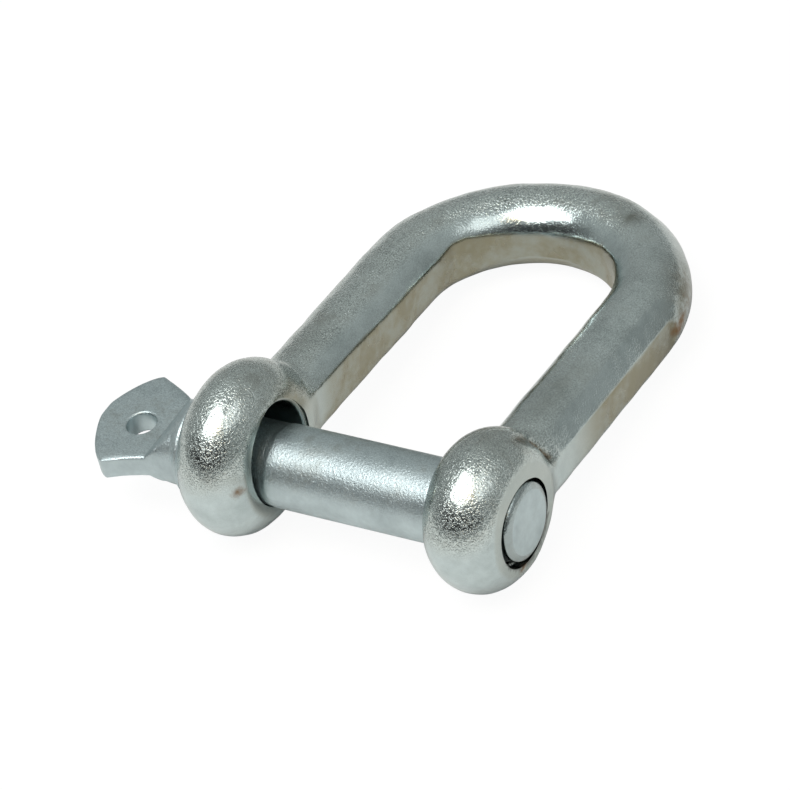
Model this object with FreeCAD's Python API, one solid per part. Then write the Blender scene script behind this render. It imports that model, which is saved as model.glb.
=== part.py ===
import FreeCAD, Part
import math
import os
from FreeCAD import Placement, Rotation, Vector

# D shackle with a screw pin, lying on a flat surface, in millimetres.
# World frame: origin on the pin's axis midway between the two eyes, +X along the pin from the plain
# eye (left) to the threaded eye (right), +Y from the pin towards the crown, +Z up.
# Body frame: the same directions before the body is tipped to lie on its eyes and its crown.

# ---- driving dimensions: body ----
bar_r = 7.85            # radius of the forged bar
inner_flat = 7.15       # from the bar's centreline to the flat along its inside
outer_flat = 7.1        # from the bar's centreline to the flat along the outside of each leg
half_gap = 18.3         # from the middle to the inner face of each eye
leg_length = 58.8       # from the eye centres to where the crown starts
dome_base = 6.5         # the rims of the eyes are ellipses centred this far from the bore's axis
plain_eye_r = 16.9      # plain eye, the larger one
plain_eye_t = 15.1
plain_face_r = 11.3     # flat ring on each side of the plain eye
thread_eye_r = 15.3     # threaded eye
thread_eye_t = 15.1
thread_face_r = 10.5
thread_low = 0.7        # the thread is cut this much below the middle of its eye
eye_blend = 3.0         # fillet where a leg grows out of its eye
plain_bore_r = 10.6     # clearance hole that the pin lies low in
thread_bore_r = 8.25    # thread taken at its major diameter, with sliding clearance
bore_chamfer = 0.3
seat_r = 11.6           # spot face that the collar bears on

# ---- driving dimensions: pin ----
grip_r = 8.0            # finished length between the eyes
grip_half = 17.5
shank_r = 7.8           # shank inside the plain eye
thread_r = 7.85         # crest of the screw thread
thread_depth = 0.8
thread_runout = 2.0     # groove between the grip and the thread
pin_end_x = 34.2        # stands a little proud of the threaded eye
pin_end_face_r = 6.7
collar_x = -32.8        # bearing face of the collar
tab_t = 4.8
tab_chamfer = 0.6
tab_hole_at = 16.2      # from the bearing face to the middle of the hole
tab_hole_r = 3.0
neck_start = 3.0        # where the head's flats begin, inside the collar
flat_start = 10.5       # where the neck has flattened into the tab

# Turned profile of the collar, its rim and the neck: distance from the bearing face, radius.
collar_profile = [(0.0, 11.2), (1.5, 11.2), (2.6, 9.9), (2.7, 9.75), (3.4, 9.75), (3.6, 9.1)]
neck_profile = [(3.0, 9.3), (3.6, 9.1), (4.8, 8.5), (6.4, 8.0), (7.5, 8.0), (flat_start + 0.5, 10.1)]

# Corners of the head seen square to its flat: distance from the bearing face, distance to the
# side of the pin's axis, and radius of the rounded corner.
head_corners = [
    (neck_start, -9.6, 0.0),
    (5.6, -8.3, 3.0),
    (9.5, -8.1, 8.0),       # waist, near side
    (18.2, -11.5, 0.8),     # near corner
    (22.9, -7.0, 8.0),
    (25.9, 1.2, 5.0),       # nose
    (18.95, 13.1, 1.6),     # far corner
    (8.2, 8.4, 5.0),        # waist, far side
    (5.6, 8.0, 1.5),
    (neck_start, 9.6, 0.0),
]

# ---- derived values ----
leg_x = half_gap + inner_flat                      # legs' centrelines
plain_x = -(half_gap + plain_eye_t / 2)            # eye centres in the body frame
thread_x = half_gap + thread_eye_t / 2
crown_y = leg_length
plain_lift = plain_eye_r - thread_eye_r            # the larger eye holds its centre this much higher


def crown_pitch():
    """Downward slope of the body, as a tangent, that brings the crown's underside to the surface.

    With the eyes resting, the crown's lowest centre point is at
    lift - slope * crown_y - leg_x * hypot(slope, side), and has to be bar_r above the surface.
    Squaring that gives the quadratic solved here.
    """
    side = plain_lift / (thread_x - plain_x)
    drop = thread_eye_r + plain_lift / 2 - bar_r
    a = crown_y ** 2 - leg_x ** 2
    b = drop * crown_y
    c = drop ** 2 - (leg_x * side) ** 2
    return (b - math.sqrt(b * b - a * c)) / a


def lying(shape):
    """Tip a shape from the body frame to the world frame, turning about the threaded eye's centre."""
    roll = math.degrees(math.asin(plain_lift / (thread_x - plain_x)))
    pitch = math.degrees(math.atan(crown_pitch()))
    turn = Rotation(Vector(1, 0, 0), -pitch) * Rotation(Vector(0, 1, 0), roll)
    centre = Vector(thread_x, 0, 0)
    tipped = shape.copy()
    tipped.Placement = Placement(centre - turn.multVec(centre) + Vector(0, 0, thread_low), turn)
    return tipped


def bar_section(flat_in, flat_out):
    """Section of the right leg in the XZ plane: a circle with a flat towards the opening (flat_in
    from the centre, -X) and one away from it (flat_out, +X, or none)."""
    disc = Part.Face(Part.Wire(Part.makeCircle(bar_r, Vector(leg_x, 0, 0), Vector(0, 1, 0))))
    right = flat_out or bar_r + 1
    keep = Part.makePlane(flat_in + right, 2 * bar_r + 2,
                          Vector(leg_x - flat_in, 0, -bar_r - 1), Vector(0, -1, 0), Vector(1, 0, 0))
    return disc.common(keep).Faces[0]


def eye(centre_x, radius, thickness, face_r):
    """Disc turned about the X axis. Its faces are flat out to face_r, where they meet the elliptical dome
    of its rim at a blunt edge."""
    x0, x1 = centre_x - thickness / 2, centre_x + thickness / 2
    rise = (face_r - dome_base) / (radius - dome_base)
    dome_half = thickness / 2 / math.sqrt(1 - rise ** 2)
    centre = Vector(centre_x, dome_base, 0)
    dome = Part.Ellipse(centre + Vector(0, radius - dome_base, 0), centre - Vector(dome_half, 0, 0), centre)
    reach = math.acos(rise)
    edges = [
        Part.makeLine(Vector(x0, 0, 0), Vector(x1, 0, 0)),
        Part.makeLine(Vector(x1, 0, 0), Vector(x1, face_r, 0)),
        dome.toShape(-reach, reach),
        Part.makeLine(Vector(x0, face_r, 0), Vector(x0, 0, 0)),
    ]
    face = Part.Face(Part.Wire(Part.__sortEdges__(edges)))
    return face.revolve(Vector(), Vector(1, 0, 0), 360)


def bore(x0, x1, centre, radius):
    """Cutter along X from x0 to x1 through centre, opening out at both mouths by the bore chamfer."""
    spread = radius + bore_chamfer
    run = bore_chamfer + 1.0
    cutter = Part.makeCylinder(radius, x1 - x0 + 2, Vector(x0 - 1, centre.y, centre.z), Vector(1, 0, 0))
    for x, way in ((x0, 1), (x1, -1)):
        mouth = Part.makeCone(spread + 1.0, radius, run, Vector(x - way, centre.y, centre.z),
                              Vector(way, 0, 0))
        cutter = cutter.fuse(mouth)
    return cutter


def blend_edges(body):
    """Edges where the rounded top or bottom of a leg runs into the dome of its eye."""
    near_eye = [e for e in body.Edges if bar_r < e.BoundBox.YMin and e.BoundBox.YMax < plain_eye_r]
    return [e for e in near_eye if e.Curve.TypeId == "Part::GeomBSplineCurve" and e.Length > bar_r]


def make_shackle_body():
    leg = bar_section(inner_flat, outer_flat).extrude(Vector(0, crown_y, 0))
    other_leg = leg.mirror(Vector(), Vector(1, 0, 0))
    crown_start = bar_section(inner_flat, None)
    crown_start.translate(Vector(0, crown_y, 0))
    crown = crown_start.revolve(Vector(0, crown_y, 0), Vector(0, 0, 1), 180)
    eyes = [eye(plain_x, plain_eye_r, plain_eye_t, plain_face_r),
            eye(thread_x, thread_eye_r, thread_eye_t, thread_face_r)]
    body = leg.fuse([other_leg, crown] + eyes)
    body = lying(body.makeFillet(eye_blend, blend_edges(body)))
    plain_centre = Vector(plain_x, 0, plain_lift + thread_low)
    body = body.cut(bore(collar_x, -half_gap, plain_centre, plain_bore_r))
    body = body.cut(bore(half_gap, half_gap + thread_eye_t, Vector(), thread_bore_r))
    seat = Part.makeCylinder(seat_r, 2.0, Vector(collar_x - 2.0, 0, 0), Vector(1, 0, 0))
    return body.cut(seat).Solids[0]


def rounded_outline(corners):
    """Closed face in the XY plane through corners (x, y, radius), each corner rounded by an arc."""
    edges = []
    count = len(corners)
    points = [Vector(x, y, 0) for x, y, _ in corners]
    previous_end = None
    first_start = None
    for i in range(count):
        before, here, after = points[i - 1], points[i], points[(i + 1) % count]
        radius = corners[i][2]
        to_before = (before - here).normalize()
        to_after = (after - here).normalize()
        start, end = here, here
        if radius:
            half = to_before.getAngle(to_after) / 2
            reach = radius / math.tan(half)
            middle_way = (to_before + to_after).normalize()
            centre = here + middle_way * (radius / math.sin(half))
            start = here + to_before * reach
            end = here + to_after * reach
            edges.append(Part.Arc(start, centre - middle_way * radius, end).toShape())
        if previous_end is None:
            first_start = start
        else:
            edges.append(Part.makeLine(previous_end, start))
        previous_end = end
    edges.append(Part.makeLine(previous_end, first_start))
    return Part.Face(Part.Wire(Part.__sortEdges__(edges)))


def turned(profile):
    """Solid of revolution about the X axis of a half section given as (x, radius) points."""
    points = [Vector(x, r, 0) for x, r in profile]
    return Part.Face(Part.makePolygon(points + points[:1])).revolve(Vector(), Vector(1, 0, 0), 360)


def closed(profile):
    """A turned profile with its two ends carried down to the axis."""
    return [(profile[0][0], 0)] + profile + [(profile[-1][0], 0)]


def make_head():
    """Tab, neck and collar, built with the distance from the bearing face along +X and the flat in XY."""
    outline = rounded_outline(head_corners)
    plate = outline.extrude(Vector(0, 0, tab_t))
    plate.translate(Vector(0, 0, -tab_t / 2))
    rim = [e for e in plate.Edges if e.BoundBox.ZLength < 0.01 and e.BoundBox.XMax > neck_start + 0.1]
    plate = plate.makeChamfer(tab_chamfer, rim)

    # the neck is round by the collar and is pressed flat towards the tab by two slopes
    tall = 24.0
    top = neck_profile[0][1]
    block = outline.extrude(Vector(0, 0, tall))
    block.translate(Vector(0, 0, -tall / 2))
    slopes = [Vector(neck_start, -tall, -top), Vector(flat_start, -tall, -tab_t / 2),
              Vector(flat_start, -tall, tab_t / 2), Vector(neck_start, -tall, top)]
    wedge = Part.Face(Part.makePolygon(slopes + slopes[:1])).extrude(Vector(0, 2 * tall, 0))
    neck = block.common(wedge).common(turned(closed(neck_profile)))

    hole = Part.makeCylinder(tab_hole_r, tall, Vector(tab_hole_at, 0, -tall / 2))
    return plate.fuse([neck, turned(closed(collar_profile))]).cut(hole)


def make_screw_pin():
    groove_end = grip_half + thread_runout
    thread_end = pin_end_x - (thread_r - pin_end_face_r)
    shank = turned(closed([
        (collar_x, shank_r), (-grip_half, shank_r), (-grip_half, grip_r), (grip_half, grip_r),
        (grip_half, thread_r - thread_depth), (groove_end, thread_r - thread_depth),
        (groove_end, thread_r), (thread_end, thread_r), (pin_end_x, pin_end_face_r),
    ]))
    head = make_head().mirror(Vector(), Vector(1, 0, 0))
    head.translate(Vector(collar_x, 0, 0))
    return shank.fuse(head).removeSplitter().Solids[0]


def main():
    os.makedirs("parts", exist_ok=True)
    nodes = {"shackle_body": make_shackle_body(), "screw_pin": make_screw_pin()}
    for name, shape in nodes.items():
        box = shape.BoundBox
        print(name, "valid", shape.isValid(), "volume %.0f mm3" % shape.Volume,
              "x %.2f..%.2f y %.2f..%.2f z %.2f..%.2f" % (box.XMin, box.XMax, box.YMin, box.YMax,
                                                          box.ZMin, box.ZMax))
        shape.exportStep("parts/%s.step" % name)


main()
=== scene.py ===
"""D shackle with a screw pin: the forged, zinc-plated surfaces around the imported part.

Shapes are worked out in millimetres. The body is shaped flat in its own frame, and tipped at the
end to lie on its two eyes and its crown. The pin is shaped straight in the row frame, along X.
"""

import math

import bpy
import numpy as np
from mathutils import Matrix, Vector


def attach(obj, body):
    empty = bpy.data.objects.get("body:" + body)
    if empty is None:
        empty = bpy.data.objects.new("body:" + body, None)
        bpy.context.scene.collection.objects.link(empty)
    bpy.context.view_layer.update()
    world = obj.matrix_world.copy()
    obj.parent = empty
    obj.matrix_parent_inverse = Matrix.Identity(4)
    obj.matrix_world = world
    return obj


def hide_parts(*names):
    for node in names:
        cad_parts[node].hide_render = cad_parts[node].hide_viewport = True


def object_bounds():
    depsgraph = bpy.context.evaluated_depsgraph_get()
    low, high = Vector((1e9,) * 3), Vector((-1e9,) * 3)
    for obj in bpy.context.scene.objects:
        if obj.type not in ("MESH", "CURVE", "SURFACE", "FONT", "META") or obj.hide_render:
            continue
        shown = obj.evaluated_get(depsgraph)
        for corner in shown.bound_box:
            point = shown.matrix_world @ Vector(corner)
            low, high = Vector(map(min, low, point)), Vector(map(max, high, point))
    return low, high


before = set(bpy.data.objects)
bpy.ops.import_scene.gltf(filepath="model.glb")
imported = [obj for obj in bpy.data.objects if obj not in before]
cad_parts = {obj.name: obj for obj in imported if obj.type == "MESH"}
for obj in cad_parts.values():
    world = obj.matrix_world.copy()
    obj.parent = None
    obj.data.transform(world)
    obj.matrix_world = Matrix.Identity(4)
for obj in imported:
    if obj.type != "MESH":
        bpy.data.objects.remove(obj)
cad_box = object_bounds()

MM = 0.001

# ---- body ----
BAR_R = 7.85
INNER_FLAT = 7.15           # from the bar's centreline to the plane of the eyes' inner faces
OUTER_FLAT = 7.1            # and to the flat along the outside of each leg
HALF_GAP = 18.3             # from the middle to the inner face of each eye
LEG_LENGTH = 58.8           # from the eye centres to where the crown starts
DOME_BASE = 6.5             # the eyes' rims are ellipses centred this far from the bore's axis
PLAIN_EYE_R, PLAIN_EYE_T, PLAIN_FACE_R = 16.9, 15.1, 11.3
THREAD_EYE_R, THREAD_EYE_T, THREAD_FACE_R = 15.3, 15.1, 10.5
THREAD_LOW = 0.7            # the thread is cut this much below the middle of its eye
PLAIN_BORE_TALL = 10.5      # half height of the slightly oval hole
PLAIN_BORE_WIDE = 9.0       # and its half width
PLAIN_BORE_ASIDE = 0.3      # how far its middle is from the pin's axis, along Y
PLAIN_MOUTH_OUTER = 0.35    # rounding of its edge under the collar
PLAIN_MOUTH_INNER = 0.8     # and on the inner face
THREAD_BORE_R = 8.1         # crests of the thread inside the eye
THREAD_BORE_DEPTH = 0.55    # from those crests to the roots
THREAD_BORE_FADE = 2        # the thread fades out over this length at each mouth
THREAD_BORE_FLARE = 0.5     # how much wider the inner mouth is
COUNTERSINK_R = 8.3         # at the face of the eye
COUNTERSINK_MIDDLE = (-0.45, -0.2)      # its middle in Y and Z, off the thread's axis
PLAIN_BLEND, THREAD_BLEND = 2.6, 1.4    # how softly each leg runs into its eye
CREASE = 0.22               # how softly a flat meets the round of the bar
FACET = 7.3                 # from the bar's centreline to the slanting facet above the outer flat
FACET_SLANT = math.radians(35)
FACET_SOFT = 0.5            # how softly the facet meets the round
FACE_SOFT = 0.3             # how softly an eye's face meets its rim
FOLD_GROOVE_R, FOLD_LIP_R = 13.9, 15.6  # distance of the fold from the threaded eye's axis
FORGED_WAVES = ((9, 14, 0.05), (12, 4.5, 0.03))     # unevenness: how many waves, length, height
BODY_STEP = 0.42            # between the body's rings
EYE_END = 0.03              # the first and last rings are this far inside the ends of the eyes
RAY_LENGTH = 22.0           # longer than the body is thick
HALVINGS = 26
CUT_PAST = 3.0              # how far a cutter runs past the surface it opens

LEG_X = HALF_GAP + INNER_FLAT
PLAIN_X = -(HALF_GAP + PLAIN_EYE_T / 2)
THREAD_X = HALF_GAP + THREAD_EYE_T / 2
PLAIN_LIFT = PLAIN_EYE_R - THREAD_EYE_R

# ---- pin ----
GRIP_R = 8.0
SHANK_R = 7.8
COLLAR_X = -32.8            # bearing face of the collar
COLLAR_R = 11.2
SEAT_PAST = 0.4             # how much wider the seat in the eye is than the collar
RIM_R = 9.75
NECK_R = 9.3                # where the neck leaves the rim
TAB_T = 4.8
TAB_HOLE_AT = 16.2          # from the bearing face to the middle of the hole
TAB_HOLE_R = 2.9
TAB_HOLE_ROUNDING = 0.5
NECK_START = 3.4            # from the bearing face to where the neck starts
FLAT_START = 10.5           # to where it has flattened into the tab
NECK_END = 11.2             # to where its closer rings end
NOSE_START = 19.0           # to where the tab starts to round off
NOSE_AT = 25.5              # to its nose
NOSE_SIDE = 1.4             # the nose is this far to the far side of the axis
NOSE_ROUNDING = 0.7         # length of the nose's edge over which the tab thins
NOSE_THINNING = 0.75        # and by how much, above and below
EDGE_POWER = 16             # the higher, the crisper the edges of the head
THREAD_FROM, THREAD_TO = 19.5, 31.6
THREAD_R = 7.85
THREAD_DEPTH = 0.8
THREAD_PITCH = 2.0
PIN_END_X = 34.2
PIN_END_FACE_R = 6.0
PIN_WAVES = (8, 11, 0.03)   # unevenness of the forged head: how many waves, length, height

ROUNDING_POINTS = 7         # points in a quarter round
OUT_OF_REACH = 60           # a distance that sets no limit

TURN = 2 * math.pi


# ---------------------------------------------------------------- meshes

def blend_in(value, start, end):
    """0 before start, 1 after end, and between them 3t^2 - 2t^3."""
    t = np.clip((value - start) / (end - start), 0, 1)
    return t * t * (3 - 2 * t)


def soft_min(a, b, softness):
    """The smaller of a and b; where they are closer than softness apart, lower by a parabola of
    their difference, so that the two meet in a fillet."""
    near = np.maximum(softness - np.abs(a - b), 0) / softness
    return np.minimum(a, b) - near * near * softness / 4


def soft_max(a, b, softness):
    """The larger of a and b, met in a fillet in the same way."""
    return -soft_min(-a, -b, softness)


def bell(value, middle, width):
    """1 at middle, falling off to both sides as exp(-((value - middle) / width)^2)."""
    return np.exp(-((value - middle) / width) ** 2)


def skin(name, rings):
    """A closed mesh through rings, an array of stations x points x 3 in millimetres. Neighbouring
    rings are joined by quads, and each end is closed by a fan to the middle of its ring."""
    stations, around = rings.shape[:2]
    index = np.arange(stations * around).reshape(stations, around)
    here, ahead = index[:-1], index[1:]
    quads = np.stack([here, np.roll(here, -1, 1), np.roll(ahead, -1, 1), ahead], -1).reshape(-1, 4)
    points = [rings.reshape(-1, 3)]
    faces = quads.tolist()
    count = stations * around
    for ring, is_first in ((index[0], True), (index[-1], False)):
        points.append(rings.reshape(-1, 3)[ring].mean(0, keepdims=True))
        a, b = ring, np.roll(ring, -1)
        if is_first:
            a, b = b, a
        faces += np.stack([a, b, np.full(around, count)], -1).tolist()
        count += 1
    mesh = bpy.data.meshes.new(name)
    mesh.from_pydata((np.concatenate(points) * MM).tolist(), [], faces)
    mesh.validate()
    piece = bpy.data.objects.new(name, mesh)
    bpy.context.scene.collection.objects.link(piece)
    return piece


def turned(name, profile, centre, around=96):
    """A profile of (x, radius) points turned about the line along X through centre (y, z)."""
    x, r = np.asarray(profile, float).T
    angle = np.linspace(0, TURN, around, endpoint=False)
    rings = np.stack([
        np.broadcast_to(x[:, None], (len(x), around)),
        centre[0] + r[:, None] * np.cos(angle),
        centre[1] + r[:, None] * np.sin(angle),
    ], -1)
    return skin(name, rings)


def cut(piece, cutters):
    """Takes the cutters out of the piece, and removes them."""
    for cutter in cutters:
        change = piece.modifiers.new("cut", "BOOLEAN")
        change.operation, change.solver, change.object = "DIFFERENCE", "EXACT", cutter
    bpy.context.view_layer.update()
    finished = piece.evaluated_get(bpy.context.evaluated_depsgraph_get())
    result = bpy.data.meshes.new_from_object(finished)
    piece.modifiers.clear()
    old, piece.data = piece.data, result
    bpy.data.meshes.remove(old)
    result.name = piece.name
    for cutter in cutters:
        bpy.data.objects.remove(cutter)


def smooth(piece, sharpest):
    """Smooth shading, apart from edges sharper than the given angle in degrees."""
    piece.data.shade_smooth()
    piece.data.set_sharp_from_angle(angle=math.radians(sharpest))


# ---------------------------------------------------------------- body

def inner_half_height(along):
    """Half height of the inner flat, drawn straight between given places along the bar. It was
    pressed deeper where the bar was bent, and hardly at all at the top of the crown."""
    crown = math.pi * LEG_X
    where = [0, 30, 42, LEG_LENGTH + 3, LEG_LENGTH + 9, LEG_LENGTH + 13, LEG_LENGTH + 21,
             LEG_LENGTH + 29, LEG_LENGTH + 0.47 * crown, LEG_LENGTH + 0.6 * crown,
             LEG_LENGTH + 0.68 * crown, LEG_LENGTH + 0.78 * crown, LEG_LENGTH + 0.95 * crown,
             LEG_LENGTH + crown + 8]
    half = [3.9, 3.9, 3.4, 3.2, 4.3, 4.2, 3.1, 2.2, 2.2, 3.2, 4.1, 4.5, 4.2, 3.7]
    return np.interp(along, where, half)


def bar_place(p):
    """Where points are along and across the bent bar. q is the distance from the middle plane along
    the legs, and from the crown's turning axis past them; along is measured on the centreline from
    the plain eye's side; past is how far beyond the start of the crown a point is."""
    x, y = p[..., 0], p[..., 1]
    past = np.maximum(y - LEG_LENGTH, 0)
    q = np.where(past > 0, np.hypot(x, past), np.abs(x))
    bend = np.arctan2(past, -x)
    along = np.where(past > 0, LEG_LENGTH + bend * LEG_X,
                     np.where(x < 0, y, 2 * LEG_LENGTH + math.pi * LEG_X - y))
    return q, along, past


def fullness(along):
    """How much fuller outwards the hammered bar is: a bell near the top of the plain leg, and one
    at the far shoulder."""
    return 0.45 * bell(along, 54, 13) + 0.7 * bell(along, 108, 9)


def bar_sides(p):
    """How far points stand out of each side of the bar: the round about q = LEG_X, the inner flat,
    the outer flat along the legs only, and the slanting facet above the outer flat of the threaded
    leg. Past its own stretch, a flat or facet is moved out until it cuts nothing."""
    q, along, past = bar_place(p)
    z = p[..., 2]
    out = q - LEG_X
    extra = fullness(along) / 2
    bar = np.hypot(out - extra, z) - (BAR_R + extra)
    inner = -np.sqrt(BAR_R ** 2 - inner_half_height(along) ** 2) - out
    outer = out - OUTER_FLAT - 1.5 * blend_in(past, 0, 4)
    slant = out * math.cos(FACET_SLANT) + z * math.sin(FACET_SLANT) - FACET
    slant = slant - 0.9 * np.maximum(blend_in(past, 0, 7), blend_in(-p[..., 0], 0, 5))
    return bar, inner, outer, slant


def bar_distance(p):
    """How far points stand out of the bar: out of any of its sides."""
    bar, inner, outer, slant = bar_sides(p)
    return soft_max(soft_max(soft_max(bar, slant, FACET_SOFT), inner, CREASE), outer, CREASE)


def eye_distance(p, centre_x, radius, thickness, face_r):
    """How far points stand out of an eye. With a the distance from its middle along X and rho the
    distance from its axis, it is the slab |a| < thickness / 2 inside the ellipse (a / wide)^2 +
    ((rho - DOME_BASE) / (radius - DOME_BASE))^2 < 1, which meets the slab at face_r."""
    half, reach = thickness / 2, radius - DOME_BASE
    wide = half / math.sqrt(1 - ((face_r - DOME_BASE) / reach) ** 2)
    x = np.abs(p[..., 0] - centre_x)
    a = x / wide
    b = np.maximum(np.hypot(p[..., 1], p[..., 2]) - DOME_BASE, 0) / reach
    size = np.maximum(np.hypot(a, b), 1e-6)
    slope = np.maximum(np.hypot(a / wide, b / reach), 1e-6) / size
    return soft_max((size - 1) / slope, x - half, FACE_SOFT)


def unevenness(p, rng, waves, size, height):
    """The slight waviness of a hot forging: a sum of sines along random directions."""
    total = np.zeros(p.shape[:-1])
    for _ in range(waves):
        way = rng.normal(size=3)
        way *= TURN / size / np.linalg.norm(way) * rng.uniform(0.6, 1.4)
        total += np.sin(p @ way + rng.uniform(0, TURN))
    return total * height / math.sqrt(waves)


def fold_height(p):
    """The fold that the forging left where the threaded eye turns into its leg: a groove round the
    eye's axis with a lip behind it, both bells of the distance from it, on the upper outside."""
    rho = np.hypot(p[..., 1], p[..., 2])
    there = blend_in(p[..., 0], 24, 30) * blend_in(p[..., 1], 3, 8) * blend_in(p[..., 2], 0.5, 4)
    groove = -0.65 * bell(rho, FOLD_GROOVE_R, 0.7)
    lip = 0.3 * bell(rho, FOLD_LIP_R, 1.0)
    return there * (groove + lip)


def body_distance(p):
    """How far points stand out of the body: the bar and the two eyes, each run into its leg by a
    fillet. The bar stops inside the eyes."""
    bar = np.maximum(bar_distance(p), -p[..., 1])
    plain_eye = eye_distance(p, PLAIN_X, PLAIN_EYE_R, PLAIN_EYE_T, PLAIN_FACE_R)
    thread_eye = eye_distance(p, THREAD_X, THREAD_EYE_R, THREAD_EYE_T, THREAD_FACE_R)
    plain = soft_min(bar, plain_eye, PLAIN_BLEND)
    thread = soft_min(bar, thread_eye, THREAD_BLEND)
    return np.where(p[..., 0] < 0, plain, thread - fold_height(p))


def spread(start, end, count):
    """Values from start towards end, close together near start: 1 - cos of a quarter turn."""
    return start + (end - start) * (1 - np.cos(np.linspace(0, math.pi / 2, count)))


def body_path():
    """The body's centreline from the far side of the threaded eye, up its leg, round the crown and
    down to the far side of the plain eye: centres and outward directions, each stations x 3."""
    bend = np.arange(0, 1, BODY_STEP / (math.pi * LEG_X)) * math.pi
    eye_low = {1: spread(-THREAD_EYE_R + EYE_END, 0, 42), -1: spread(-PLAIN_EYE_R + EYE_END, 0, 46)}
    leg = np.arange(BODY_STEP, LEG_LENGTH, BODY_STEP)
    centres, outward = [], []
    for side in (1, -1):
        y = np.concatenate([eye_low[side], leg])
        x = np.full(len(y), side * LEG_X)
        line = np.stack([x, y, 0 * y], -1)
        out = np.broadcast_to([side, 0.0, 0.0], line.shape)
        if side < 0:
            line, out = line[::-1], out[::-1]
        centres.append(line)
        outward.append(out)
        if side > 0:
            way = np.stack([np.cos(bend), np.sin(bend), 0 * bend], -1)
            centres.append(way * LEG_X + [0, LEG_LENGTH, 0])
            outward.append(way)
    return np.concatenate(centres), np.concatenate(outward)


def lying():
    """The turn and shift from the body's own frame to the row frame. It is tipped about the
    threaded eye's centre by PLAIN_LIFT between the eyes, and downwards until the crown touches what
    the eyes rest on: slope solves a * slope^2 - 2 * b * slope + c = 0."""
    side = PLAIN_LIFT / (THREAD_X - PLAIN_X)
    drop = THREAD_EYE_R + PLAIN_LIFT / 2 - BAR_R
    a = LEG_LENGTH ** 2 - LEG_X ** 2
    b = drop * LEG_LENGTH
    c = drop ** 2 - (LEG_X * side) ** 2
    slope = (b - math.sqrt(b * b - a * c)) / a
    turn = Matrix.Rotation(-math.atan(slope), 3, "X") @ Matrix.Rotation(math.asin(side), 3, "Y")
    turn = np.array(turn)
    centre = np.array([THREAD_X, 0, 0])
    return turn, centre - turn @ centre + [0, 0, THREAD_LOW]


def body_rings(around=124):
    """The body's rings. Rays leave each station of the centreline in its own plane, and each ends
    where body_distance is zero, found by halving the interval, plus the forging's unevenness."""
    centres, outward = body_path()
    angle = np.linspace(0, TURN, around, endpoint=False)
    up = np.array([0.0, 0.0, 1.0])
    rays = outward[:, None] * np.cos(angle)[:, None] + up * np.sin(angle)[:, None]
    near, far = np.zeros(rays.shape[:2]), np.full(rays.shape[:2], RAY_LENGTH)
    for _ in range(HALVINGS):
        middle = (near + far) / 2
        inside = body_distance(centres[:, None] + rays * middle[..., None]) < 0
        near, far = np.where(inside, middle, near), np.where(inside, far, middle)
    surface = centres[:, None] + rays * near[..., None]
    rng = np.random.default_rng(11)
    worn = sum(unevenness(surface, rng, *waves) for waves in FORGED_WAVES)
    return surface + rays * (worn * np.minimum(near / 3, 1))[..., None]


def mouth(x, way, radius, rounding, depth):
    """Profile points of a bore's mouth at x that opens in direction way along X: a quarter round of
    the bore's edge, then straight out past the surface."""
    bend = np.linspace(0, math.pi / 2, ROUNDING_POINTS)
    points = [(x - way * rounding * (1 - math.sin(t)), radius + rounding * (1 - math.cos(t)))
              for t in bend]
    return points + [(x + way * depth, radius + rounding)]


def plain_bore():
    """Clearance hole with rounded mouths, pressed slightly oval."""
    middle = PLAIN_LIFT + THREAD_LOW
    left = mouth(COLLAR_X, -1, PLAIN_BORE_TALL, PLAIN_MOUTH_OUTER, CUT_PAST)
    right = mouth(-HALF_GAP, 1, PLAIN_BORE_TALL, PLAIN_MOUTH_INNER, CUT_PAST)
    bore = turned("plain_bore", left[::-1] + right, (0, 0))
    bore.data.transform(Matrix.Diagonal((1, PLAIN_BORE_WIDE / PLAIN_BORE_TALL, 1, 1)))
    bore.data.transform(Matrix.Translation((0, PLAIN_BORE_ASIDE * MM, middle * MM)))
    return bore


def thread_bore():
    """Threaded hole: the radius grows from THREAD_BORE_R by a rounded groove, 0.5 - 0.5 cos, that
    climbs one pitch a turn, and opens out at the inner mouth. Its crests clear the pin's."""
    face = HALF_GAP + THREAD_EYE_T
    x = np.arange(HALF_GAP - 2.5, face + 2.5, 0.2)[:, None]
    angle = np.linspace(0, TURN, 96, endpoint=False)
    groove = 0.5 - 0.5 * np.cos(TURN * x / THREAD_PITCH - angle)
    ends = (blend_in(x, HALF_GAP, HALF_GAP + THREAD_BORE_FADE)
            * blend_in(-x, -face, -(face - THREAD_BORE_FADE)))
    flare = THREAD_BORE_FLARE * (1 - ends) ** 3 * (x < THREAD_X)
    r = THREAD_BORE_R + THREAD_BORE_DEPTH * groove * ends + flare
    rings = np.stack([x + 0 * angle, r * np.cos(angle), r * np.sin(angle)], -1)
    return skin("thread_bore", rings)


def countersink():
    """The straight recess at the outer mouth of the threaded hole, cut a little off centre."""
    face = HALF_GAP + THREAD_EYE_T
    profile = [(face - 2.6, 7.6), (face - 2.1, COUNTERSINK_R - 0.1), (face - 0.2, COUNTERSINK_R),
               (face + 0.05, COUNTERSINK_R + 0.2), (face + CUT_PAST, COUNTERSINK_R + 0.3)]
    return turned("countersink", profile, COUNTERSINK_MIDDLE)


def paint(piece, name, values):
    """Keeps one number for each vertex, for the finish to read."""
    layer = piece.data.attributes.new(name, "FLOAT", "POINT")
    layer.data.foreach_set("value", values.astype(np.float32))


def read(piece, what):
    """The piece's vertex places ("co") or normals ("normal"), vertices x 3."""
    values = np.zeros(len(piece.data.vertices) * 3)
    piece.data.vertices.foreach_get(what, values)
    return values.reshape(-1, 3)


def spot(p, place, size):
    """1 at a place and falling off as a bell, with size its radius, or one each way."""
    return np.exp(-(((p - np.array(place)) / np.array(size)) ** 2).sum(-1))


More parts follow.
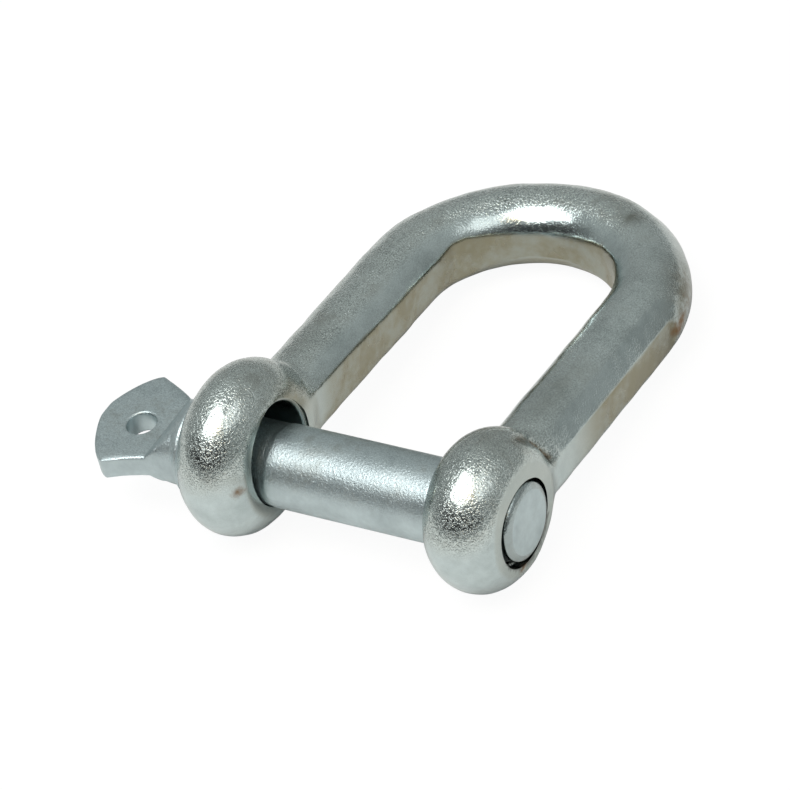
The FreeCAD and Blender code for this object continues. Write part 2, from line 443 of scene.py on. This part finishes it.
# Rust and stains, some of the stains being painted shade: place in the body's own frame, radius (or
# radii), strength.
RUST = [
    ((33.4, 62.0, 0.0), (2.5, 3.6, 2.2), 0.75),
    ((33.0, 67.5, 1.5), (2.5, 3.5, 3.0), 0.4),
    ((31.6, 9.4, 10.2), (1.0, 1.0, 1.5), 0.6),
    ((33.0, 11.2, 6.5), (1.2, 1.0, 2.0), 0.7),
    ((33.6, -2.6, -8.9), (1.5, 2.0, 0.8), 0.7),
    ((-19.0, -12.9, 0.7), (2.2, 1.8, 1.6), 0.75),
    ((10.0, 75.0, 4.4), (1.3, 0.9, 1.0), 0.4),
]
STAIN_AND_SHADE = [
    ((14.3, 80.7, 8.0), 2.3, 0.8),
    ((29.5, 70.0, 4.0), (5.0, 6.0, 4.0), 0.5),
    # painted shade: these three darken the lower outside of the crown beside the threaded leg,
    # standing in for the shaded table it mirrors
    ((33.0, 72.0, -1.0), (5.0, 15.0, 7.0), 0.8),
    ((34.0, 68.0, -4.0), (4.0, 13.0, 7.0), 0.9),
    ((28.5, 77.0, -3.0), (8.0, 11.0, 8.0), 0.6),
    ((-20.0, -12.0, 3.0), (3.0, 2.0, 1.5), 0.4),
    ((26.0, 26.0, 8.0), (3.0, 9.0, 3.0), 0.45),
    ((28.0, 3.0, 14.0), (7.0, 6.0, 3.0), 0.45),
    ((-27.0, 24.0, 8.0), (4.0, 9.0, 3.0), 0.3),
    ((-25.0, 5.0, 15.0), (6.0, 6.0, 3.0), 0.3),
]


def weather(piece, turn, shift):
    """Marks where the body is gritty, rusty or stained, with painted shade in some of the stains,
    near-black painted shade in the threaded hole, and a warm, darker tint painted as the shaded
    table that its sides mirror. The sides and spots are found in the body's own frame, and the
    thread in the row frame."""
    p = (read(piece, "co") / MM - shift) @ turn
    up = read(piece, "normal")[:, 2]
    q, along, _ = bar_place(p)
    _, inner, outer, slant = bar_sides(p)
    on_leg = blend_in(p[:, 1], 11, 23)
    inner_flat = blend_in(inner, -0.3, -0.05) * on_leg
    outer_flat = blend_in(outer, -0.3, -0.05) * on_leg
    facet = blend_in(slant, -0.25, 0.0) * on_leg * (1 - outer_flat)
    inside = blend_in(q - LEG_X, -2.5, -5.0) * on_leg
    rho = np.hypot(p[:, 1], p[:, 2])
    plain_face = np.abs(p[:, 0] - PLAIN_X) - PLAIN_EYE_T / 2
    thread_face = np.abs(p[:, 0] - THREAD_X) - THREAD_EYE_T / 2
    near_face = np.maximum(blend_in(plain_face, -0.35, -0.1) * (p[:, 0] < 0),
                           blend_in(thread_face, -0.35, -0.1) * (p[:, 0] > 0))
    face = near_face * (rho < 16)
    calm = np.max([inner_flat, outer_flat, 0.8 * facet, 0.75 * inside, face], 0)
    softer = 1 - 0.4 * blend_in(along, LEG_LENGTH + 48, LEG_LENGTH + 62) * on_leg
    paint(piece, "grit", blend_in(up, 0.05, 0.35) * (1 - calm) * softer)
    # painted reflection and painted shade: a warm, darker tint on the inner flats, the lower inside
    # of the legs, the inside top of the plain eye, a little on the eyes' faces, and on the outer
    # flats, most on the threaded leg's far half, standing in for the shaded table that these sides
    # mirror
    inside_top = spot(p, (-18.3, 7.5, 9.0), (2.0, 5.0, 4.5))
    far_half = blend_in(p[:, 1], 18, 34)
    thread_side = 0.4 + 0.6 * (p[:, 0] > 0)
    lower_inside = inside * blend_in(-p[:, 2], 1.5, 4.0)
    warmth = (inner_flat + 0.9 * lower_inside + 0.9 * inside_top + 0.35 * face
              + outer_flat * (0.2 + 0.8 * far_half) * thread_side)
    fold = np.clip(-2 * fold_height(p), 0, 1)
    paint(piece, "warmth", np.clip(warmth, 0, 1))
    row = read(piece, "co") / MM
    # painted shade: the walls of the threaded hole and of its recess are darkened towards black
    in_eye = (row[:, 0] > HALF_GAP + 0.6) & (row[:, 0] < HALF_GAP + THREAD_EYE_T - 0.15)
    in_bore = np.hypot(row[:, 1], row[:, 2]) < COUNTERSINK_R + 0.65
    paint(piece, "grease", in_eye * in_bore * 0.6)
    rust = 0.45 * fold + sum(k * spot(p, at, size) for at, size, k in RUST)
    # stains, with painted shade in the entries low on the crown's outside; the fold's groove is
    # darkened and rusted
    stain = fold + sum(k * spot(p, at, size) for at, size, k in STAIN_AND_SHADE)
    paint(piece, "rust", np.clip(rust, 0, 1))
    paint(piece, "stain", np.clip(stain, 0, 1))


def make_body():
    """The body: its skin, tipped to lie as it does, with both bores, the recess and the collar's
    seat cut out of it."""
    piece = skin("shackle_body_skin", body_rings())
    turn, shift = lying()
    place = Matrix(turn.tolist()).to_4x4()
    place.translation = Vector(shift * MM)
    piece.data.transform(place)
    seat_r = COLLAR_R + SEAT_PAST
    seat = turned("seat", [(COLLAR_X - 2, seat_r), (COLLAR_X, seat_r)], (0, 0))
    cut(piece, [plain_bore(), thread_bore(), countersink(), seat])
    smooth(piece, 35)
    weather(piece, turn, shift)
    return piece


# ---------------------------------------------------------------- pin

# The head seen square to its flat: distance from the bearing face, and distance to each side.
NEAR_EDGE = [(0, 12.0), (3.4, 9.6), (5.6, 8.5), (9.0, 8.1), (12.0, 8.8), (15.5, 10.1), (18.2, 11.4)]
FAR_EDGE = [(0, 12.0), (3.4, 9.6), (5.6, 8.2), (8.2, 8.3), (10.4, 9.4), (14.6, 11.2), (18.9, 13.0)]

# Distance from the bearing face, and radius: the neck, then the rim and the collar.
NECK = [(3.4, NECK_R), (3.6, 9.1), (4.4, 8.5), (5.2, 8.2), (8.0, 8.2), (11.0, 10.1), (30.0, 30.0)]
COLLAR = [
    (3.40, 9.55), (3.32, 9.70), (3.2, RIM_R), (2.8, RIM_R), (2.70, 9.68), (2.62, 9.68),
    (2.5, 9.95), (2.0, 10.6), (1.5, 11.05), (1.2, COLLAR_R), (0.35, COLLAR_R),
    (0.1, COLLAR_R - 0.1), (0.0, COLLAR_R - 0.35), (0.0, 9.5), (0.0, SHANK_R + 0.2),
    (-0.2, SHANK_R),
]

# Place along X, and radius: the shank down to the groove before the thread, then the bevelled end.
SHANK = [(COLLAR_X, SHANK_R), (-17.8, SHANK_R), (-17.2, GRIP_R), (17.0, GRIP_R), (17.6, 7.85),
         (18.0, 7.1)]
PIN_END = [
    (THREAD_TO, 7.45), (32.4, 7.5), (33.0, 7.5), (33.35, 7.42), (33.65, 7.15), (33.9, 6.7),
    (34.08, 6.25), (PIN_END_X - 0.02, PIN_END_FACE_R), (PIN_END_X, PIN_END_FACE_R - 0.25),
    (PIN_END_X, 4.0), (PIN_END_X - 0.03, 2.0), (PIN_END_X - 0.05, 0.4),
]


def edge_side(s, edge, side):
    """How far the head's outline is from the axis at distance s: along the given edge up to its
    corner, and from there to the nose as (1 - t^1.55)^0.72, which starts straight and rounds
    off."""
    at, out = np.array(edge).T
    corner = at[-1]
    t = np.clip((s - corner) / (NOSE_AT - corner), 0, 1)
    nose = side * NOSE_SIDE
    along = np.interp(s, at, out)
    return np.where(s > corner, nose + (out[-1] - nose) * (1 - t ** 1.55) ** 0.72, along)


def pin_stations():
    """Where the pin's rings stand along X and how wide its turned profile is there, from the nose
    of the tab to the threaded end."""
    nose = NOSE_AT - spread(0.004, NOSE_AT - NOSE_START, 60)
    tab = np.arange(NOSE_START, NECK_END, -0.2)
    neck = np.arange(NECK_END, NECK_START, -0.15)
    head_s = np.concatenate([nose, tab, neck])
    head_r = np.interp(head_s, *np.array(NECK).T)
    collar_s, collar_r = np.array(COLLAR).T
    shank_x = np.concatenate([np.arange(COLLAR_X + 0.7, THREAD_FROM - 1.6, 0.45),
                              np.arange(THREAD_FROM - 1.5, THREAD_TO, 0.14)])
    shank_r = np.interp(shank_x, *np.array(SHANK).T)
    end_x, end_r = np.array(PIN_END).T
    x = np.concatenate([COLLAR_X - head_s, COLLAR_X - collar_s, shank_x, end_x])
    return x, np.concatenate([head_r, collar_r, shank_r, end_r])


def pin_rings(around=112):
    """The pin's rings. Each is a line out from the middle of its section in every direction. In the
    head it ends at the soft minimum (power mean) of the distances to the two sides, to the flat or
    the slope above and below, and to the turned profile; elsewhere at the profile or the thread."""
    x, r = pin_stations()
    s = COLLAR_X - x
    is_head = s > NECK_START - 0.01

    near = np.where(is_head, edge_side(s, NEAR_EDGE, -1), OUT_OF_REACH)
    far = np.where(is_head, edge_side(s, FAR_EDGE, 1), OUT_OF_REACH)
    half = TAB_T / 2
    slope = np.clip((FLAT_START - s) / (FLAT_START - 3.0), 0, 1)
    flat = np.where(is_head, half + (NECK_R - half) * slope, OUT_OF_REACH)
    nose_thin = np.clip((NOSE_AT - s) / NOSE_ROUNDING, 0, 1)
    thinned = NOSE_THINNING * (1 - np.sqrt(1 - (1 - nose_thin) ** 2))
    flat = np.where(is_head, flat - thinned, flat)
    middle = np.where(is_head & (s > 11), (far - near) / 2, 0)
    middle = middle * blend_in(s, 11, 17)
    wide = np.where(is_head, np.minimum((far + near) / 2, r), 1.0)
    tall = np.where(is_head, np.minimum(flat, r), 1.0)

    t = np.linspace(0, TURN, around, endpoint=False)
    across, rise = wide[:, None] * np.cos(t), tall[:, None] * np.sin(t)
    size = np.hypot(across, rise)
    across, rise = across / size, rise / size
    m, column = middle[:, None], r[:, None]
    round_part = -m * across + np.sqrt(np.maximum(column ** 2 - (m * rise) ** 2, 1e-6))
    sideways = np.where(across > 0, across / (far[:, None] - m), -across / (near[:, None] + m))
    upward = np.abs(rise) / flat[:, None]
    total = sideways ** EDGE_POWER + upward ** EDGE_POWER + (1 / round_part) ** EDGE_POWER
    reach = np.where(is_head[:, None], total ** (-1 / EDGE_POWER), column)

    # right-hand thread, rounded at crest and root, fading in from the groove and out at the end
    ridge = 0.5 + 0.5 * np.cos(TURN * x[:, None] / THREAD_PITCH - t)
    amount = blend_in(x, THREAD_FROM - 1.5, THREAD_FROM + 0.5) * (x < THREAD_TO)
    height = (THREAD_R - THREAD_DEPTH) + THREAD_DEPTH * np.clip(ridge * 1.3 - 0.1, 0, 1)
    height = np.minimum(height, 7.4 + (THREAD_TO - x[:, None]) * 0.75)
    reach = np.where((amount > 0)[:, None], reach + (height - reach) * amount[:, None], reach)
    rings = np.stack([x[:, None] + 0 * t, m + reach * across, reach * rise], -1)
    worn = unevenness(rings, np.random.default_rng(5), *PIN_WAVES)
    rings[..., 2] += worn * blend_in(s, 3.6, 8)[:, None]
    return rings


def tab_hole():
    """The hole in the tab, with rounded edges above and below."""
    half, rounding = TAB_T / 2, TAB_HOLE_ROUNDING
    up = [(half - rounding * (1 - math.sin(t)), TAB_HOLE_R + rounding * (1 - math.cos(t)))
          for t in np.linspace(0, math.pi / 2, ROUNDING_POINTS)]
    up.append((half + 2, TAB_HOLE_R + rounding))
    profile = [(-x, r) for x, r in up[::-1]] + up
    hole = turned("tab_hole", profile, (0, 0), around=72)
    place = Matrix.Rotation(math.pi / 2, 4, "Y")
    place.translation = Vector((COLLAR_X - TAB_HOLE_AT, 0, 0)) * MM
    hole.data.transform(place)
    return hole


def make_pin():
    """The pin, with marks for where it is gritty, polished and tinted darker on the bevel of its
    end, and darkened with painted shade along its thread.
    """
    piece = skin("screw_pin_skin", pin_rings())
    cut(piece, [tab_hole()])
    smooth(piece, 40)
    x, normal = read(piece, "co")[:, 0] / MM, read(piece, "normal")
    paint(piece, "grit", blend_in(normal[:, 2], 0.1, 0.5))
    bevel = blend_in(x, 32.4, 33.0) * (1 - blend_in(normal[:, 0], 0.9, 0.99))
    paint(piece, "polish", bevel)
    # the bevel of the end, inside the recess of the threaded eye, is tinted darker olive
    paint(piece, "stain", 0.45 * bevel)
    # painted shade along the thread, which sits in the threaded hole
    on_thread = blend_in(x, THREAD_FROM, THREAD_FROM + 1)
    paint(piece, "grease", 0.5 * on_thread * (1 - blend_in(x, 32.5, 32.9)))
    return piece


# ---------------------------------------------------------------- finish

class Field:
    """A value that varies over a surface: one socket of a node tree. Arithmetic on it adds Math
    nodes."""

    def __init__(self, nodes, socket):
        self.nodes, self.socket = nodes, socket

    def math(self, operation, *values):
        return self.nodes.node("Math", {"operation": operation}, *values)

    def __add__(self, other):
        return self.math("ADD", self, other)

    def __radd__(self, other):
        return self.math("ADD", other, self)

    def __sub__(self, other):
        return self.math("SUBTRACT", self, other)

    def __rsub__(self, other):
        return self.math("SUBTRACT", other, self)

    def __mul__(self, other):
        return self.math("MULTIPLY", self, other)

    def __rmul__(self, other):
        return self.math("MULTIPLY", other, self)


class Nodes:
    """Adds nodes to one tree."""

    def __init__(self, owner):
        owner.use_nodes = True
        self.tree = owner.node_tree
        self.tree.nodes.clear()

    def node(self, kind, settings=None, *values, out=0, **named):
        """Adds a node: its type, its settings, then the values or links of its sockets, in order or
        by name."""
        made = self.tree.nodes.new("ShaderNode" + kind)
        for key, value in (settings or {}).items():
            if key == "stops":
                ramp = made.color_ramp
                while len(ramp.elements) < len(value):
                    ramp.elements.new(0.5)
                for element, (place, shade) in zip(ramp.elements, value):
                    element.position, element.color = place, shade
            else:
                setattr(made, key, value)
        sockets = list(enumerate(values)) + [(k.replace("_", " "), v) for k, v in named.items()]
        for key, value in sockets:
            if isinstance(value, Field):
                self.tree.links.new(value.socket, made.inputs[key])
            else:
                made.inputs[key].default_value = value
        return Field(self, made.outputs[out] if len(made.outputs) else None)

    def noise(self, place, grain, detail=2.0, rough=0.5, seed=0.0):
        """Noise whose grains are the given number of millimetres across."""
        return self.node("TexNoise", {"noise_dimensions": "4D"}, Vector=place, W=seed,
                         Scale=1 / (grain * MM), Detail=detail, Roughness=rough)

    def between(self, value, low, high):
        """0 below low, 1 above high, and smooth between."""
        return self.node("MapRange", {"interpolation_type": "SMOOTHSTEP"},
                         value, low, high, 0.0, 1.0)

    def mix(self, amount, first, second):
        """The first colour where amount is 0, the second where it is 1."""
        made = self.tree.nodes.new("ShaderNodeMix")
        made.data_type = "RGBA"
        for key, value in ((0, amount), (6, first), (7, second)):
            if isinstance(value, Field):
                self.tree.links.new(value.socket, made.inputs[key])
            else:
                made.inputs[key].default_value = value
        return Field(self, made.outputs[2])


def colour(r, g, b):
    """A colour given as it looks, from 0 to 255, as linear light."""
    parts = [c / 255 / 12.92 if c <= 10 else ((c / 255 + 0.055) / 1.055) ** 2.4
             for c in (r, g, b)]
    return (*parts, 1.0)


ZINC_LIGHT = colour(222, 231, 228)
ZINC_DARK = colour(142, 151, 148)
CALM_LIGHT = colour(214, 226, 226)
CALM_DARK = colour(150, 162, 162)
# painted reflection and painted shade: the shaded table mirrored in the flats
PAINTED_WARM_SHADE_TINT = colour(150, 146, 126)
PIN_LIGHT = colour(210, 223, 225)
PIN_DARK = colour(144, 157, 160)
# for stains, and for painted shade
ZINC_STAIN_AND_SHADE = colour(106, 104, 90)
RUST_BROWN = colour(124, 88, 44)
# near black: painted shade in the threaded hole and on the pin's thread
PAINTED_SHADE_DARK = colour(62, 58, 53)


def zinc(name, gritty_tints, calm_tints, grain, pit, contrast, matt):
    """Electroplated zinc: a bright coat pitted by grains, grain millimetres across and pit deep,
    whose tint drifts. The values painted on the vertices say where it is gritty, polished, rusty or
    stained, and where painted shade goes: a warm, darker tint for the shaded table that flats
    mirror, some of the stains, and near black in the threaded hole; a piece without one of them
    reads 0 there."""
    material = bpy.data.materials.new(name)
    n = Nodes(material)
    place = n.node("TexCoord", out="Object")
    gritty, polish, warm_shade_amount, rust, stain, grease = (
        n.node("Attribute", {"attribute_name": mark}, out="Fac")
        for mark in ("grit", "polish", "warmth", "rust", "stain", "grease"))
    fine = n.noise(place, grain, 2.0, 0.6)
    speck = n.noise(place, 0.5 * grain, 1.0, 0.5, seed=21.0)
    blotch = n.noise(place, 2.2, 3.0, 0.6, seed=12.0)
    drift = n.noise(place, 9.0, 3.0, 0.55, seed=7.0)
    amount = 0.08 + 0.92 * gritty
    shade = (0.70 + (speck - 0.5) * contrast * amount
             + (drift - 0.5) * 1.0 + (blotch - 0.5) * 0.7)
    tint = n.mix(gritty, n.mix(shade, *calm_tints), n.mix(shade, *gritty_tints))
    tint = n.mix(gritty * n.between(drift + 0.6 * blotch, 0.82, 1.05) * 0.35, tint, ZINC_STAIN_AND_SHADE)
    # painted reflection and painted shade: a warm, darker tint where the warm marks are
    tint = n.mix(warm_shade_amount * (0.55 + 0.45 * n.between(drift + 0.5 * blotch, 0.5, 0.9)), tint, PAINTED_WARM_SHADE_TINT)
    # stains, and painted shade where the stain marks stand in for it
    tint = n.mix(stain * (0.4 + 0.5 * n.between(blotch, 0.3, 0.6)), tint, ZINC_STAIN_AND_SHADE)
    rusty = n.between(rust * 1.2 + (blotch - 0.5) * 1.4, 0.25, 1.1)
    # painted shade: near black inside the threaded hole and on the pin's thread, from the marks
    # painted there
    tint = n.mix(grease, n.mix(rusty, tint, RUST_BROWN), PAINTED_SHADE_DARK)
    rough = matt + 0.1 * drift + 0.3 * rusty + 0.12 * warm_shade_amount - 0.22 * polish
    fleck = n.between(fine, 0.45, 0.60)
    bump = n.node("Bump", None, Strength=1.0, Distance=pit * MM,
                  Height=(fleck + 0.25 * fine) * amount)
    shader = n.node("BsdfPrincipled", None, Base_Color=tint, Metallic=1 - 0.35 * rusty,
                    Roughness=rough, Normal=bump)
    n.node("OutputMaterial", None, shader)
    return material


# ---------------------------------------------------------------- assembly

body = make_body()
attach(body, "shackle_body")
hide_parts("shackle_body")
body.data.materials.clear()
body.data.materials.append(
    zinc("zinc_forged", (ZINC_DARK, ZINC_LIGHT), (CALM_DARK, CALM_LIGHT),
         grain=0.48, pit=0.034, contrast=2.8, matt=0.10))

pin = make_pin()
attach(pin, "screw_pin")
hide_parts("screw_pin")
pin.data.materials.clear()
pin.data.materials.append(
    zinc("zinc_turned", (PIN_DARK, PIN_LIGHT), (PIN_DARK, PIN_LIGHT),
         grain=0.5, pit=0.018, contrast=1.4, matt=0.36))


# ---------------------------------------------------------------- studio

FLOOR_Z = cad_box[0][2]
FLOOR_HALF = 4.0
FLOOR_WHITE = 1.06          # strength of its white
FLOOR_PALE = 0.85           # and how pale it is where it is lit
SHADOW_SHOWN = 0.12         # how much of the table's own shading the background keeps
MIRRORED_WHITE = 0.05       # how much of the white the metal mirrors; 1 would mirror all of it


def whiteness(n):
    """How white the table and the room look: fully when seen straight on or through something, and
    only a little in the metal, which mirrors a grey room over a pale table."""
    straight = (n.node("LightPath", out="Is Camera Ray")
                + n.node("LightPath", out="Is Transmission Ray"))
    return straight, n.node("LightPath", out="Is Glossy Ray") * MIRRORED_WHITE


def make_floor():
    """A pale table. Seen straight on, it is white but for a little of its shading."""
    corners = [(-1, -1), (1, -1), (1, 1), (-1, 1)]
    mesh = bpy.data.meshes.new("table")
    points = [(FLOOR_HALF * x, FLOOR_HALF * y, FLOOR_Z) for x, y in corners]
    mesh.from_pydata(points, [], [(0, 1, 2, 3)])
    table = bpy.data.objects.new("table", mesh)
    bpy.context.scene.collection.objects.link(table)
    pale = bpy.data.materials.new("pale_table")
    n = Nodes(pale)
    straight, mirrored = whiteness(n)
    matt = n.node("BsdfDiffuse", None, Color=(FLOOR_PALE, FLOOR_PALE, FLOOR_PALE, 1))
    white = n.node("Emission", None, (1, 1, 1, 1), FLOOR_WHITE)
    both = n.node("MixShader", None, straight * (1 - SHADOW_SHOWN) + mirrored, matt, white)
    n.node("OutputMaterial", None, both)
    mesh.materials.append(pale)
    return table


def make_room():
    """The room that the metal mirrors: grey, paler overhead, with a darker stretch above the
    horizon on the side of the camera. Seen straight on it is white."""
    world = bpy.data.worlds.new("room")
    bpy.context.scene.world = world
    n = Nodes(world)
    way = n.node("TexCoord", out="Generated")
    z = n.node("SeparateXYZ", None, way, out="Z")
    y = n.node("SeparateXYZ", None, way, out="Y")
    front = n.between(0 - y, 0.1, 0.8)
    low = n.between(z, 0.02, 0.25) * (1 - n.between(z, 0.5, 0.75))
    grey = 0.31 + 0.12 * n.between(z, 0.1, 0.9) - 0.33 * (front * low)
    room = n.node("Background", None, colour(248, 255, 253), grey)
    white = n.node("Background", None, (1, 1, 1, 1), 1.0)
    straight, mirrored = whiteness(n)
    n.node("OutputWorld", None, n.node("MixShader", None, straight + mirrored, room, white))


def make_lamp(name, azimuth, elevation, distance, size, power, tint=(1, 1, 1)):
    """A square soft box that faces the shackle, at a bearing (from +Y towards +X) and an elevation
    in degrees seen from it, with its distance and side in metres."""
    data = bpy.data.lights.new(name, "AREA")
    data.size, data.energy, data.color = size, power, tint
    lamp = bpy.data.objects.new(name, data)
    bpy.context.scene.collection.objects.link(lamp)
    az, el = math.radians(azimuth), math.radians(elevation)
    way = Vector((math.sin(az) * math.cos(el), math.cos(az) * math.cos(el), math.sin(el)))
    lamp.location = Vector(TARGET) * MM + way * distance
    lamp.rotation_euler = (-way).to_track_quat("-Z", "Y").to_euler()


# ---------------------------------------------------------------- camera

TARGET = (-6.920, 23.291, 0.0)
AZIMUTH, ELEVATION, ROLL = 38.837, 39.847, -14.793
DISTANCE = 0.7650
LENS, SENSOR_WIDTH = 186.8, 36.0


def make_camera():
    """The camera: it looks from DISTANCE metres away at TARGET, a place in millimetres, down by
    ELEVATION and from a bearing set by AZIMUTH, and is rolled about its own line of sight."""
    az, el, roll = math.radians(AZIMUTH), math.radians(ELEVATION), math.radians(ROLL)
    ahead = Vector((-math.sin(az) * math.cos(el), math.cos(az) * math.cos(el), -math.sin(el)))
    right = ahead.cross(Vector((0, 0, 1))).normalized()
    up = right.cross(ahead)
    across = right * math.cos(roll) + up * math.sin(roll)
    over = up * math.cos(roll) - right * math.sin(roll)
    data = bpy.data.cameras.new("camera")
    data.lens, data.sensor_width = LENS, SENSOR_WIDTH
    camera = bpy.data.objects.new("camera", data)
    bpy.context.scene.collection.objects.link(camera)
    place = Matrix((across, over, -ahead)).transposed().to_4x4()
    place.translation = Vector(TARGET) * MM - ahead * DISTANCE
    camera.matrix_world = place
    bpy.context.scene.camera = camera


make_floor()
make_room()
make_camera()
make_lamp("soft_box", azimuth=198, elevation=66, distance=1.2, size=0.85, power=8)
make_lamp("warm_box", azimuth=157, elevation=60, distance=1.2, size=0.36, power=1.3,
          tint=(1.0, 0.74, 0.46))
make_lamp("side_box", azimuth=105, elevation=55, distance=1.4, size=0.8, power=1.8)

bpy.context.scene.view_settings.view_transform = "Standard"
